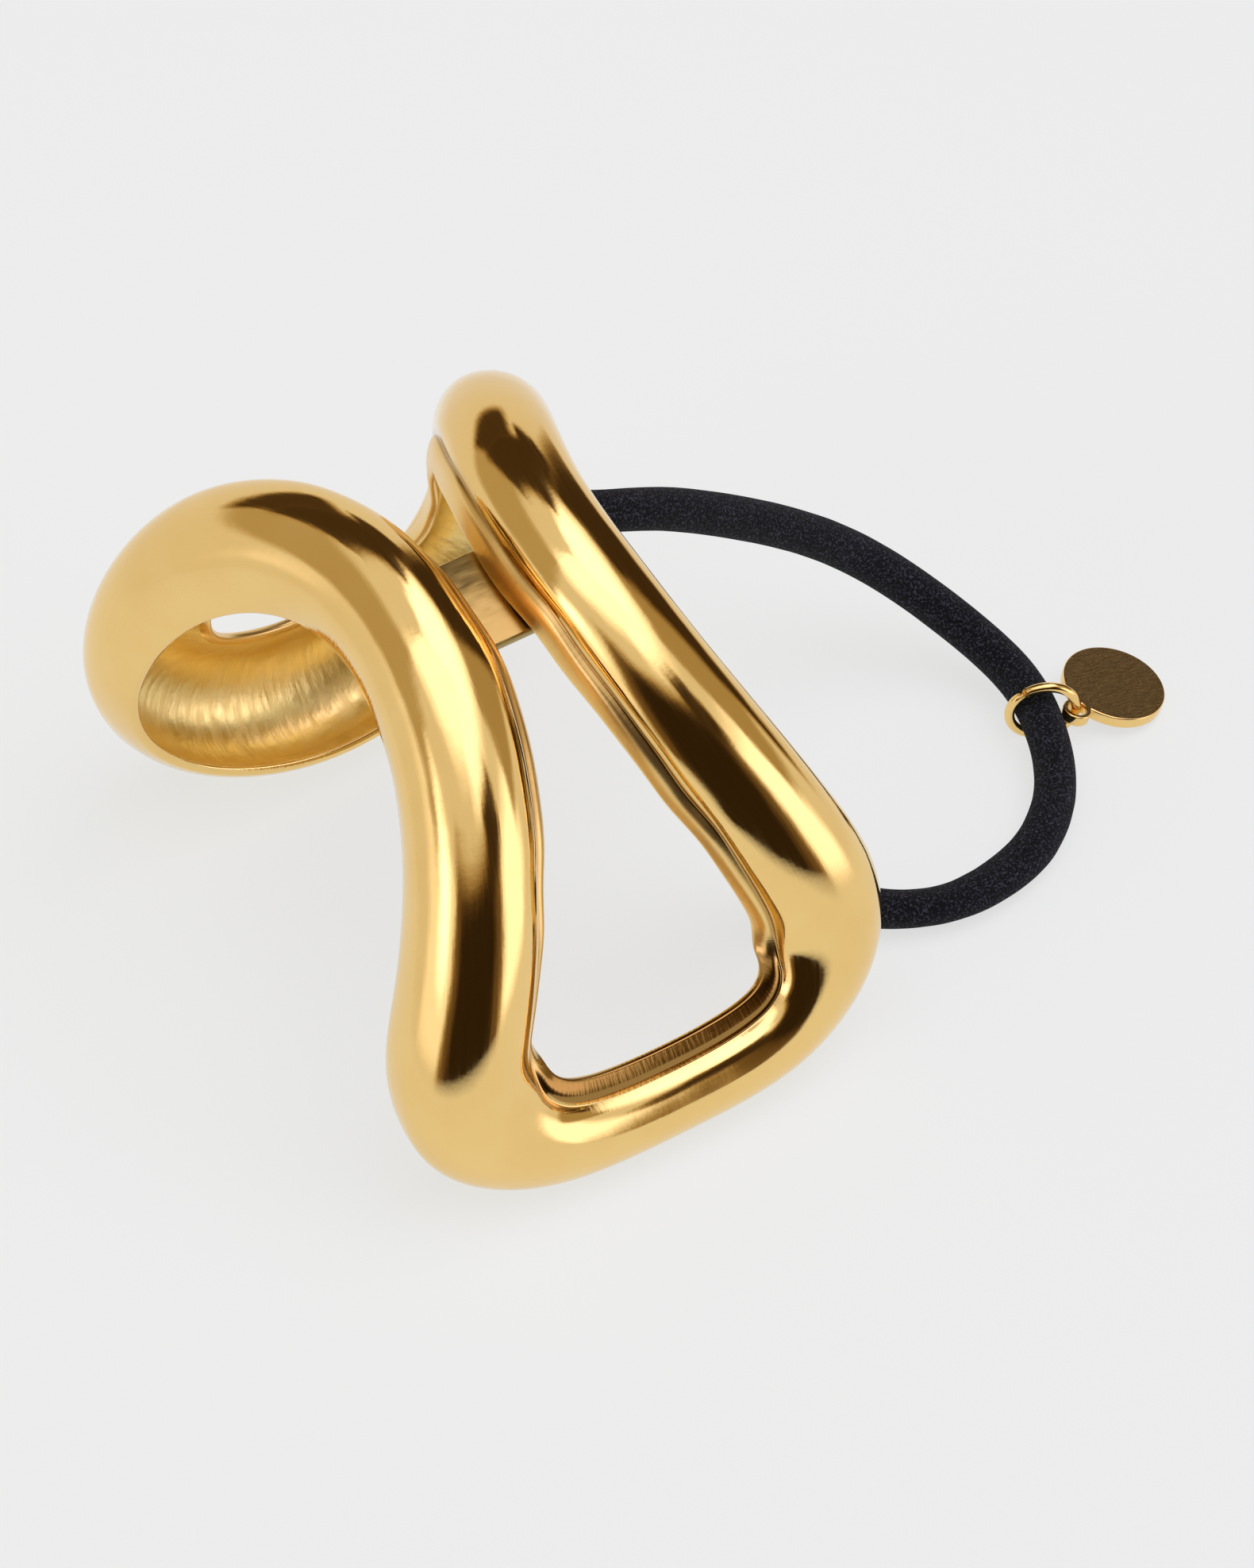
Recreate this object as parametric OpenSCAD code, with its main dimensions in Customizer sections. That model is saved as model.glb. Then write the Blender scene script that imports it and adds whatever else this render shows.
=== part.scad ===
// Ponytail cuff: a closed loop of gold tube, waisted like an hourglass and bent
// over the ponytail as an arch, with a bridge plate across its waist, an elastic
// threaded behind the plate, a jump ring on the elastic and a round tag.
// Millimetres. X runs along the ponytail, Y to the back, Z up; the floor is Z = 0.

/* [Cuff loop] */
// Half the spread of the two limbs at the ends of the arch
half_span = 20; // [14:0.5:30]
// From the middle of the arch to the middle of an end bar
reach = 30; // [22:0.5:45]
// Scale of the arch's height, floor to just over the tube's middle
arch_h = 50; // [35:0.5:75]
// Height that the round side of the tube faces away from
turn_h = 12; // [5:0.5:25]

/* [Tube section] */
// Width of the tube along the floor of its section
tube_w = 12; // [8:0.1:18]
// Height of the rounded crown
crown_h = 5.7; // [3.5:0.1:9]
// Height of the outer side wall below the tube's middle, down to the open back
side_h = 4.2; // [2:0.1:7]
// Height of the crease on the window side, above the tube's middle
crease_h = 2.3; // [1:0.1:3.5]
// Drop of the flared flank from the crease to its rim
flank_h = 1.5; // [0.5:0.1:3]
// Wall of the crown
wall = 1.2; // [0.8:0.1:2]
// Wall of the rims at the open back
rim_wall = 0.9; // [0.6:0.1:1.5]
// How far the flank flares out from the crease to its rim
flare = 1.7; // [0.4:0.1:2.5]
// How far the outer side draws in towards its rim
outer_lean = 1; // [0:0.1:2]

/* [Bridge plate] */
// Place of the plate along the limb, in rows of the loop's table
bridge_row = 9.45; // [9:0.05:10.5]
// Length of the plate along the limbs
bridge_l = 9.6; // [6:0.1:14]
// Thickness of the plate
bridge_t = 1.2; // [0.8:0.1:2]
// Depth of the plate's face below the tube's middle
bridge_drop = 1.1; // [0.6:0.1:2]
// Share of the tube's half width that the plate reaches past the limb's middle
bridge_cover = 0.88; // [0.84:0.01:0.95]

/* [Elastic] */
// Thickness of the elastic
elastic_d = 4.2; // [3:0.1:4.5]
// Sides of the elastic's section
elastic_sides = 12; // [8:1:12]

/* [Jump ring] */
// Thickness of the ring's wire
wire_d = 1.0; // [0.6:0.05:1.2]
// Half the play of the elastic in the ring, with room for the tag's lug
ring_gap = 0.65; // [0.5:0.05:1]

/* [Tag] */
// Diameter of the tag
tag_d = 10.2; // [6:0.1:16]
// Thickness of the tag and its lug
tag_t = 1.2; // [0.8:0.1:2]
// Gap between the lug's hole and the ring's wire, all round
lug_gap = 0.4; // [0.25:0.05:0.6]
// Wall of the lug around its hole
lug_wall = 0.5; // [0.5:0.05:0.8]

/* [Hidden] */
$fn = 48;

// The loop's table, from the front end bar over the right limb to the back end bar.
// across, along and up are shares of half_span, reach and arch_h. width is a share of
// the tube's width, and inner the crease's share of half that; flare, flank, crown and
// sides are shares of the sizes above, and tilt leans the crown away from the window.
ACROSS = 0;
ALONG = 1;
UP = 2;
WIDTH = 3;
INNER = 4;
FLARE = 5;
FLANK = 6;
CROWN = 7;
SIDES = 8;
TILT = 9;
half_loop = [
    // across, along, up, width, inner, flare, flank, crown, sides, tilt
    [0.00, -0.985, 0.116, 0.86, 0.84, 1.10, 1.60, 0.94, 1.00, 0],
    [0.37, -0.980, 0.117, 0.90, 0.84, 1.10, 1.60, 0.94, 1.00, 0],
    [0.65, -0.962, 0.136, 1.03, 0.79, 1.00, 1.50, 0.95, 1.00, 0],
    [0.85, -0.927, 0.190, 1.18, 0.72, 0.90, 1.20, 0.97, 1.00, 0],
    [0.95, -0.892, 0.268, 1.13, 0.75, 0.90, 0.90, 0.98, 1.00, 0],
    [0.97, -0.860, 0.360, 1.00, 0.84, 0.95, 0.70, 1.00, 1.00, 0],
    [0.86, -0.810, 0.465, 0.98, 0.86, 0.95, 0.70, 1.00, 1.00, 0],
    [0.68, -0.670, 0.610, 1.00, 0.80, 1.00, 1.10, 1.00, 1.00, 0],
    [0.50, -0.450, 0.750, 1.03, 0.79, 1.00, 1.10, 1.00, 1.00, 0],
    [0.40, -0.150, 0.860, 1.03, 0.76, 1.10, 1.80, 1.00, 1.00, 0],
    [0.39, 0.180, 0.905, 1.02, 0.82, 1.10, 1.90, 1.02, 1.00, 0],
    [0.53, 0.470, 0.895, 1.00, 0.83, 1.10, 1.90, 1.05, 1.10, 0],
    [0.75, 0.740, 0.785, 0.98, 0.85, 1.10, 1.80, 1.06, 1.15, 0],
    [0.94, 0.900, 0.590, 1.00, 0.86, 1.00, 1.70, 1.06, 1.15, 0],
    [0.97, 0.960, 0.390, 1.02, 0.88, 1.00, 1.70, 1.04, 1.10, 8],
    [0.65, 0.980, 0.202, 1.07, 0.92, 1.00, 1.70, 1.00, 0.98, 16],
    [0.00, 0.960, 0.108, 1.12, 0.95, 1.00, 1.70, 1.00, 0.92, 18],
];

// Where the elastic runs, from the bridge over the back to the floor and home again
elastic_route = [
    [8.0, 1.5, 45.2],
    [8.2, 5.6, 46.3],
    [8.8, 9.6, 45.3],
    [9.8, 13.2, 42.2],
    [12.0, 14.6, 37.2],
    [17.0, 12.6, 34.2],
    [22.2, 11.6, 32.6],
    [27.6, 11.8, 30.0],
    [33.2, 11.8, 26.4],
    [38.8, 11.8, 22.4],
    [44.4, 11.4, 18.2],
    [49.8, 10.4, 13.4],
    [54.4, 7.4, 8.8],
    [57.2, 3.4, 5.8],
    [58.6, -1.0, 4.4],
    [58.8, -5.4, 3.8],
    [57.7, -10.0, 3.4],
    [55.9, -14.4, 2.6],
    [53.2, -18.2, 2.3],
    [50.0, -20.8, 2.3],
    [47.0, -22.6, 2.3],
    [42.0, -23.8, 2.3],
    [37.0, -23.8, 2.3],
    [32.0, -21.8, 2.4],
    [27.6, -18.6, 3.2],
    [23.6, -15.8, 6.4],
    [20.0, -13.8, 12.0],
    [16.2, -12.6, 18.8],
    [13.0, -11.8, 25.4],
    [10.6, -11.4, 32.4],
    [9.2, -10.2, 38.8],
    [8.5, -7.2, 42.9],
    [8.0, -2.6, 44.4],
];
elastic_steps = 2;
// Lowers the whole loop, so that its end bars stand on the floor
foot_drop = 0.535;

// The jump ring stands round the elastic, and its wire runs through the tag's lug
ring_at = [58.3, -8.9, 3.8];
ring_turn = 65;
ring_lean = 87;
lug_on_ring = 284;
// The tag lies with its outer edge on the floor
tag_turn = -19;
tag_lean = 13.5;
lug_side = 215;

loop_steps = 4;
crown_steps = 16;
hollow_steps = 12;
left_limb = [for (i = [len(half_loop) - 2:-1:1]) concat([-half_loop[i][ACROSS]], [for (k = [1:TILT]) half_loop[i][k]])];
loop_table = concat(half_loop, left_limb);
rows = len(loop_table);

ring_r = elastic_d / 2 + ring_gap + wire_d / 2;
lug_hole_r = wire_d / 2 + lug_gap;
lug_r = lug_hole_r + lug_wall;
lug_at = tag_d / 2 + lug_hole_r + 0.1;
lug_hang = ring_r + lug_gap / 2 - 0.05;

function unit(v) = v / norm(v);

// A smooth closed curve that follows the rows of a table: value and direction at t
function row_at(table, i) = table[(i + len(table)) % len(table)];
function blend(s) = [pow(1 - s, 3), 3 * pow(s, 3) - 6 * s * s + 4, 1 + 3 * s + 3 * s * s - 3 * pow(s, 3), pow(s, 3)] / 6;
function blend_slope(s) = [-pow(1 - s, 2), 3 * s * s - 4 * s, 1 + 2 * s - 3 * s * s, s * s] / 2;
function mix4(table, i, w) = w[0] * row_at(table, i - 1) + w[1] * row_at(table, i) + w[2] * row_at(table, i + 1) + w[3] * row_at(table, i + 2);
function value_at(table, t) = mix4(table, floor(t), blend(t - floor(t)));
function slope_at(table, t) = mix4(table, floor(t), blend_slope(t - floor(t)));

// Middle, direction and crown direction of the tube at t rows along the loop
function scaled(r) = [r[ACROSS] * half_span, r[ALONG] * reach, r[UP] * arch_h];
function raised(v) = v - [0, 0, foot_drop];
function middle(t) = raised(scaled(value_at(loop_table, t)));
function ahead(t) = unit(scaled(slope_at(loop_table, t)));
function away(p) = unit([0, p[1], p[2] - turn_h]);
function square_to(v, d) = unit(v - (v * d) * d);
function crown_plain(t) = square_to(away(middle(t)), ahead(t));
function crown(t) =
    let (n = crown_plain(t), a = value_at(loop_table, t)[TILT])
    n * cos(a) + cross(ahead(t), n) * sin(a);
function side(t) = cross(ahead(t), crown(t));

// Outline of the section: u to the outer side, v to the crown. The crown ends at the
// crease on the window side, and the flared flank runs from there to its rim.
function section(r) =
    let (
        a = r[WIDTH] * tube_w / 2,
        b = a * r[INNER],
        f = r[FLARE] * flare,
        h = r[FLANK] * flank_h,
        up = r[CROWN] * crown_h,
        down = r[SIDES] * side_h,
        last = 180 - asin(crease_h / up),
        c = b / -cos(last)
    )
    concat(
        [for (k = [0:crown_steps]) let (w = last * k / crown_steps) [(w < 90 ? a : c) * cos(w), up * sin(w)]],
        [[-b - 0.38 * f, crease_h - 0.3 * h]],
        [[-b - 0.72 * f, crease_h - 0.65 * h]],
        [[-b - f, crease_h - h]],
        [[-b - f + 0.5 * rim_wall, crease_h - h - 0.8 * rim_wall]],
        [[-b - 0.5 * f + 0.5 * rim_wall, crease_h - 0.65 * h - 0.9 * rim_wall]],
        [for (k = [hollow_steps:-1:0])
            let (w = last * k / hollow_steps)
            [(w < 90 ? a - wall : c - wall) * cos(w), (up - wall) * sin(w)]],
        [[a - 0.4 * outer_lean - rim_wall - 0.1, -0.55 * down]],
        [[a - outer_lean - rim_wall, -down]],
        [[a - outer_lean, -down]],
        [[a - 0.45 * outer_lean, -0.68 * down]],
        [[a - 0.12 * outer_lean, -0.34 * down]]
    );

function ring_points(t) =
    let (p = middle(t), s = side(t), c = crown(t))
    [for (q = section(value_at(loop_table, t))) p + q[0] * s + q[1] * c];

// A closed tube through rings of points, the last joined to the first
module closed_tube(rings) {
    n = len(rings);
    m = len(rings[0]);
    points = [for (ring = rings) each ring];
    faces = [
        for (i = [0:n - 1])
            for (j = [0:m - 1])
                let (
                    a = i * m + j,
                    b = i * m + (j + 1) % m,
                    c = ((i + 1) % n) * m + (j + 1) % m,
                    d = ((i + 1) % n) * m + j
                )
                each [[a, b, c], [a, c, d]]
    ];
    polyhedron(points, faces);
}

// The plate lies square to the crown direction at its row, across both limbs
module bridge_plate() {
    r = value_at(loop_table, bridge_row);
    p = middle(bridge_row);
    c = crown_plain(bridge_row);
    slope = atan2(-c[1], c[2]);
    half = p[0] + bridge_cover * r[WIDTH] * tube_w / 2;
    translate([0, p[1], p[2]])
        rotate([slope, 0, 0])
            translate([-half, -bridge_l / 2, -bridge_drop - bridge_t])
                cube([2 * half, bridge_l, bridge_t]);
}

module cuff() {
    color([0.86, 0.66, 0.30])
        union() {
            closed_tube([for (t = [0:1 / loop_steps:rows - 0.5 / loop_steps]) ring_points(t)]);
            bridge_plate();
        }
}

module elastic() {
    up = unit([0.65, 0, 0.76]);
    count = len(elastic_route) * elastic_steps;
    color([0.06, 0.06, 0.07])
        closed_tube([
            for (i = [0:count - 1])
                let (
                    t = i / elastic_steps,
                    p = value_at(elastic_route, t),
                    d = unit(slope_at(elastic_route, t)),
                    s = unit(cross(d, up)),
                    c = cross(s, d)
                )
                [for (k = [0:elastic_sides - 1])
                    let (w = 360 * (k + 0.5) / elastic_sides)
                    p + (cos(w) * s + sin(w) * c) * elastic_d / 2]
        ]);
}

module jump_ring() {
    color([0.86, 0.66, 0.30])
        translate(ring_at)
            rotate([0, 0, ring_turn])
                rotate([0, ring_lean, 0])
                    rotate_extrude()
                        translate([ring_r, 0])
                            circle(d = wire_d, $fn = 24);
}

// Disc and lug, with the lug's hole at the origin
module tag_blank() {
    difference() {
        union() {
            translate([-lug_at, 0, 0])
                cylinder(d = tag_d, h = tag_t, center = true, $fn = 64);
            cylinder(r = lug_r, h = tag_t, center = true);
        }
        cylinder(r = lug_hole_r, h = tag_t + 1, center = true);
    }
}

module tag() {
    across = [cos(ring_lean) * cos(ring_turn), cos(ring_lean) * sin(ring_turn), -sin(ring_lean)];
    level = [-sin(ring_turn), cos(ring_turn), 0];
    color([0.80, 0.62, 0.30])
        translate(ring_at + lug_hang * (cos(lug_on_ring) * across + sin(lug_on_ring) * level))
            rotate([0, 0, tag_turn])
                rotate([0, tag_lean, 0])
                    rotate([0, 0, lug_side])
                        tag_blank();
}

cuff();
elastic();
jump_ring();
tag();
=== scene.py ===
# %% [markdown]
# # Ponytail cuff
# A gold-tone cuff covers the band of a ponytail. One tube, open along its back, is
# bent into an hourglass loop and then over the hair like a bridge. A black knitted
# elastic runs behind its waist and carries a small round tag on a jump ring. Places
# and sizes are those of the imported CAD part, in its own frame. This file gives the
# pieces their fine shape, their finish and the studio around them.

# %% Load the frame
import math

import bmesh
import bpy
from mathutils import Matrix, Vector


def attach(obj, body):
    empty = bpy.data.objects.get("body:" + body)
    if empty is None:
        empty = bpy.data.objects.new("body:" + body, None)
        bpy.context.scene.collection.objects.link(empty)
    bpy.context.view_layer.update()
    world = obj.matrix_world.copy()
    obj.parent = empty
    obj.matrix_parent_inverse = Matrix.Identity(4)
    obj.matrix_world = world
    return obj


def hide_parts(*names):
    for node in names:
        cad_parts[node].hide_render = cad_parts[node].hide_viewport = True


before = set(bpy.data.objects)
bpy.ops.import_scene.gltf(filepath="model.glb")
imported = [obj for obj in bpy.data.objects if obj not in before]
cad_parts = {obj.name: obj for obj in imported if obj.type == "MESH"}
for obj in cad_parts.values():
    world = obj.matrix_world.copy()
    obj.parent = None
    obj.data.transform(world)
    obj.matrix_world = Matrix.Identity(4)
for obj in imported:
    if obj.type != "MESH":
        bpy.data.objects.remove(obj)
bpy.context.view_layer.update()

MM = 0.001
scene = bpy.context.scene

# %% [markdown]
# ## Camera
# The photograph looks down on the cuff from the front left. A long lens, far from the
# object, keeps the two end bars nearly parallel. The lens shift puts the cuff left of
# the middle, so that the tag has room on the right.

# %% Camera
AIM = Vector((0, 0, 26.5)) * MM
CAMERA_AZIMUTH = math.radians(32.8)
CAMERA_ELEVATION = math.radians(45.6)
CAMERA_DISTANCE = 650 * MM
CAMERA_LENS = 163.5
CAMERA_SHIFT = (0.0927, -0.0382)


def new_object(name, data):
    """An object at the origin, in the scene."""
    made = bpy.data.objects.new(name, data)
    scene.collection.objects.link(made)
    return made


camera_data = bpy.data.cameras.new("camera")
camera_data.lens = CAMERA_LENS
camera_data.shift_x, camera_data.shift_y = CAMERA_SHIFT
camera_data.clip_start, camera_data.clip_end = 0.02, 20
camera = new_object("camera", camera_data)
level = math.cos(CAMERA_ELEVATION)
looks_along = Vector(
    (
        math.sin(CAMERA_AZIMUTH) * level,
        math.cos(CAMERA_AZIMUTH) * level,
        -math.sin(CAMERA_ELEVATION),
    )
)
camera.location = AIM - looks_along * CAMERA_DISTANCE
camera.rotation_mode = "QUATERNION"
camera.rotation_quaternion = looks_along.to_track_quat("-Z", "Y")
scene.camera = camera
print("camera at", [round(x, 3) for x in camera.location])


# %% [markdown]
# ## Smooth closed curves
# The loop of tube and the elastic are both closed curves through a short table of
# rows. A uniform cubic B-spline turns such a table into a curve without a kink. Each
# point on it is a blend of the four nearest rows, and so is everything else that the
# rows hold, such as the tube's width.


# %% Closed B-spline through a table of rows
def blend_of_rows(rows, t, weights):
    """The rows on both sides of t, blended with four weights."""
    first = math.floor(t) - 1
    near = [rows[(first + k) % len(rows)] for k in range(4)]
    return [sum(w * row[c] for w, row in zip(weights, near)) for c in range(len(rows[0]))]


def row_at(rows, t):
    """Every column of the table at t rows along the closed curve."""
    s = t - math.floor(t)
    weights = ((1 - s) ** 3, 3 * s**3 - 6 * s**2 + 4, 1 + 3 * s + 3 * s**2 - 3 * s**3, s**3)
    return blend_of_rows(rows, t, [w / 6 for w in weights])


def slope_at(rows, t):
    """How fast every column changes at t."""
    s = t - math.floor(t)
    weights = (-((1 - s) ** 2), 3 * s**2 - 4 * s, 1 + 2 * s - 3 * s**2, s**2)
    return blend_of_rows(rows, t, [w / 2 for w in weights])


# %% [markdown]
# ## Small helpers for node trees
# Geometry trees and materials are both built from nodes and links. A few short
# functions keep the rest of the script readable. They add a node, with its inputs set
# to values or linked to sockets, do a sum, stretch a span of values, make a noise, and
# start a node group with named sockets. Those for geometry store an attribute, end a
# tree, and keep what a tree made as a plain mesh.


# %% Node helpers
def feed(tree, node, inputs):
    """Sets a node's inputs to values, or links them to sockets."""
    for name, value in inputs.items():
        if isinstance(value, bpy.types.NodeSocket):
            tree.links.new(value, node.inputs[name])
        else:
            node.inputs[name].default_value = value


def add_node(tree, kind, inputs=None, **settings):
    """A new node with its settings and its inputs."""
    node = tree.nodes.new(kind)
    for name, value in settings.items():
        setattr(node, name, value)
    feed(tree, node, inputs or {})
    return node


def calc(tree, operation, *values):
    """The result of a Math node on values or sockets."""
    inputs = dict(enumerate(values))
    return add_node(tree, "ShaderNodeMath", inputs, operation=operation).outputs[0]


def spread_over(tree, value, low, high, start=0.0, stop=1.0, kind="LINEAR"):
    """Maps the span from start to stop onto low to high."""
    spans = {"From Min": start, "From Max": stop, "To Min": low, "To Max": high}
    return add_node(
        tree, "ShaderNodeMapRange", {"Value": value, **spans}, interpolation_type=kind
    ).outputs[0]


def noise_on(tree, vector, scale, detail=2.0, distortion=0.0):
    """Noise from 0 to 1 on a vector, or on the point's own place if that is None."""
    inputs = {"Scale": scale, "Detail": detail, "Distortion": distortion}
    if vector is not None:
        inputs["Vector"] = vector
    return add_node(tree, "ShaderNodeTexNoise", inputs).outputs["Fac"]


def new_group(name, kind, inputs, outputs):
    """An empty node group with named sockets, and its two end nodes."""
    tree = bpy.data.node_groups.new(name, kind)
    for socket, socket_type, default in inputs:
        made = tree.interface.new_socket(socket, in_out="INPUT", socket_type=socket_type)
        if default is not None:
            made.default_value = default
    for socket, socket_type in outputs:
        tree.interface.new_socket(socket, in_out="OUTPUT", socket_type=socket_type)
    return tree, tree.nodes.new("NodeGroupInput"), tree.nodes.new("NodeGroupOutput")


# %% Helpers for geometry trees
def stored(tree, geometry, name, value, kind="FLOAT", domain="POINT"):
    """The geometry with a named attribute on it."""
    return add_node(
        tree,
        "GeometryNodeStoreNamedAttribute",
        {"Geometry": geometry, "Name": name, "Value": value},
        data_type=kind,
        domain=domain,
    ).outputs[0]


def end_tree(tree, geometry, material, result):
    """Ends a geometry tree: shaded smooth, made real, and given its material."""
    smooth = add_node(tree, "GeometryNodeSetShadeSmooth", {"Geometry": geometry})
    real = add_node(tree, "GeometryNodeRealizeInstances", {"Geometry": smooth.outputs[0]})
    values = {"Geometry": real.outputs[0], "Material": material}
    dressed = add_node(tree, "GeometryNodeSetMaterial", values)
    tree.links.new(dressed.outputs[0], result.inputs[0])


def plain_mesh(source, name):
    """The finished shape of a source object as a mesh; the source itself goes."""
    evaluated = source.evaluated_get(bpy.context.evaluated_depsgraph_get())
    mesh = bpy.data.meshes.new_from_object(evaluated)
    mesh.name = name
    bpy.data.objects.remove(source)
    return mesh


def mesh_from_tree(source, tree, name, values):
    """Runs a geometry tree on a source object and keeps the result as a plain mesh."""
    modifier = source.modifiers.new(tree.name, "NODES")
    modifier.node_group = tree
    for item in tree.interface.items_tree:
        if item.in_out == "INPUT" and item.name in values:
            modifier[item.identifier] = values[item.name]
    mesh = plain_mesh(source, name)
    print(name, len(mesh.vertices), "points", len(mesh.polygons), "faces")
    return new_object(name, mesh)


# %% [markdown]
# ## The elastic's route
# The elastic is one closed cord. It leaves the bridge at the back, drops to the
# surface on the right, lies there in an open loop, and climbs back up inside the arch.
# The route repeats the points of the CAD source, so the fine cord lies just where the
# solid lies. Both ends of the path meet behind the bridge plate, where nobody sees.

# %% Route of the elastic
ELASTIC_D = 4.2
elastic_route = [
    [8.0, 1.5, 45.2],
    [8.2, 5.6, 46.3],
    [8.8, 9.6, 45.3],
    [9.8, 13.2, 42.2],
    [12.0, 14.6, 37.2],
    [17.0, 12.6, 34.2],
    [22.2, 11.6, 32.6],
    [27.6, 11.8, 30.0],
    [33.2, 11.8, 26.4],
    [38.8, 11.8, 22.4],
    [44.4, 11.4, 18.2],
    [49.8, 10.4, 13.4],
    [54.4, 7.4, 8.8],
    [57.2, 3.4, 5.8],
    [58.6, -1.0, 4.4],
    [58.8, -5.4, 3.8],
    [57.7, -10.0, 3.4],
    [55.9, -14.4, 2.6],
    [53.2, -18.2, 2.3],
    [50.0, -20.8, 2.3],
    [47.0, -22.6, 2.3],
    [42.0, -23.8, 2.3],
    [37.0, -23.8, 2.3],
    [32.0, -21.8, 2.4],
    [27.6, -18.6, 3.2],
    [23.6, -15.8, 6.4],
    [20.0, -13.8, 12.0],
    [16.2, -12.6, 18.8],
    [13.0, -11.8, 25.4],
    [10.6, -11.4, 32.4],
    [9.2, -10.2, 38.8],
    [8.5, -7.2, 42.9],
    [8.0, -2.6, 44.4],
]
ROUTE_STEPS = 8

steps = len(elastic_route) * ROUTE_STEPS
elastic_path = [Vector(row_at(elastic_route, i / ROUTE_STEPS)) * MM for i in range(steps + 1)]

# %% [markdown]
# ## The elastic's knitted sheath
# A hair elastic is a rubber core in a knitted tube of black yarn. Sweeping a circle
# along the route is a rule, so Geometry Nodes do it. The circle is an arc of a full
# turn with both ends in one place: its points then count from 0 to 1 without a jump,
# which gives a clean UV map, and Merge by Distance closes the slit afterwards. A soft
# noise lets the sheath swell and thin a little, as knitwear does.

# %% Geometry tree: knitted sheath
MERGE = 0.002
SWELLS_PER_METRE, SWELL_MIDDLE = 260.0, 0.6


def sheath_tree():
    """Sweeps a round section along a curve and gives it UVs in millimetres."""
    tree, given, result = new_group(
        "knitted_sheath",
        "GeometryNodeTree",
        [
            ("Route", "NodeSocketGeometry", None),
            ("Thickness", "NodeSocketFloat", 0.004),
            ("Sides", "NodeSocketInt", 24),
            ("Ring spacing", "NodeSocketFloat", 0.0005),
            ("Swell", "NodeSocketFloat", 0.00006),
            ("Side of the seam", "NodeSocketVector", (0.65, 0.0, 0.76)),
            ("Yarn", "NodeSocketMaterial", None),
        ],
        [("Sheath", "NodeSocketGeometry")],
    )
    g = given.outputs
    faced = add_node(
        tree,
        "GeometryNodeSetCurveNormal",
        {"Curve": g["Route"], "Normal": g["Side of the seam"]},
        mode="FREE",
    )
    spaced = add_node(
        tree,
        "GeometryNodeResampleCurve",
        {"Curve": faced.outputs[0], "Length": g["Ring spacing"]},
        mode="LENGTH",
    )
    place = add_node(tree, "GeometryNodeSplineParameter")
    marked_route = stored(tree, spaced.outputs[0], "along", place.outputs["Length"])
    circle = add_node(
        tree,
        "GeometryNodeCurveArc",
        {
            "Resolution": calc(tree, "ADD", g["Sides"], 1.0),
            "Radius": calc(tree, "MULTIPLY", g["Thickness"], 0.5),
            "Sweep Angle": 2 * math.pi,
        },
    )
    turn = add_node(tree, "GeometryNodeSplineParameter")
    marked_circle = stored(tree, circle.outputs[0], "around", turn.outputs["Factor"])
    swept = add_node(
        tree,
        "GeometryNodeCurveToMesh",
        {"Curve": marked_route, "Profile Curve": marked_circle},
    )
    along = add_node(tree, "GeometryNodeInputNamedAttribute", {"Name": "along"})
    around = add_node(tree, "GeometryNodeInputNamedAttribute", {"Name": "around"})
    girth = calc(tree, "MULTIPLY", g["Thickness"], math.pi / MM)
    across_mm = calc(tree, "MULTIPLY", around.outputs[0], girth)
    along_mm = calc(tree, "MULTIPLY", along.outputs[0], 1 / MM)
    uv = add_node(tree, "ShaderNodeCombineXYZ", {"X": along_mm, "Y": across_mm})
    mapped = stored(tree, swept.outputs[0], "knit", uv.outputs[0], "FLOAT2", "CORNER")
    closed = add_node(
        tree, "GeometryNodeMergeByDistance", {"Geometry": mapped, "Distance": MERGE * MM}
    )
    unevenness = noise_on(tree, None, SWELLS_PER_METRE, 1.0)
    centred = calc(tree, "SUBTRACT", unevenness, SWELL_MIDDLE)
    amount = calc(tree, "MULTIPLY", centred, g["Swell"])
    normal = add_node(tree, "GeometryNodeInputNormal")
    push = add_node(
        tree,
        "ShaderNodeVectorMath",
        {0: normal.outputs[0], "Scale": amount},
        operation="SCALE",
    )
    swollen = add_node(
        tree,
        "GeometryNodeSetPosition",
        {"Geometry": closed.outputs[0], "Offset": push.outputs[0]},
    )
    end_tree(tree, swollen.outputs[0], g["Yarn"], result)
    return tree


# %% Elastic
def curve_through(points, name):
    """A plain open curve object through points."""
    data = bpy.data.curves.new(name, "CURVE")
    data.dimensions = "3D"
    spline = data.splines.new("POLY")
    spline.points.add(len(points) - 1)
    for made, p in zip(spline.points, points):
        made.co = (*p, 1)
    return new_object(name, data)


black_knit = bpy.data.materials.new("black_knit")
elastic = mesh_from_tree(
    curve_through(elastic_path, "elastic_line"),
    sheath_tree(),
    "knitted_elastic",
    {"Thickness": ELASTIC_D * MM, "Yarn": black_knit},
)
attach(elastic, "root")
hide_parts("elastic")

# %% [markdown]
# ## The jump ring
# A jump ring is one turn of round wire whose cut ends are pressed together. The seam
# stays visible as a fine dark line. An arc that stops just short of a full turn gives
# that seam for free. The ring is made lying flat at the origin, and its mesh is then
# moved to its place, so its object stays at the origin.

# %% Geometry tree: jump ring
RING_POINTS, WIRE_SIDES = 129, 24


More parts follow.
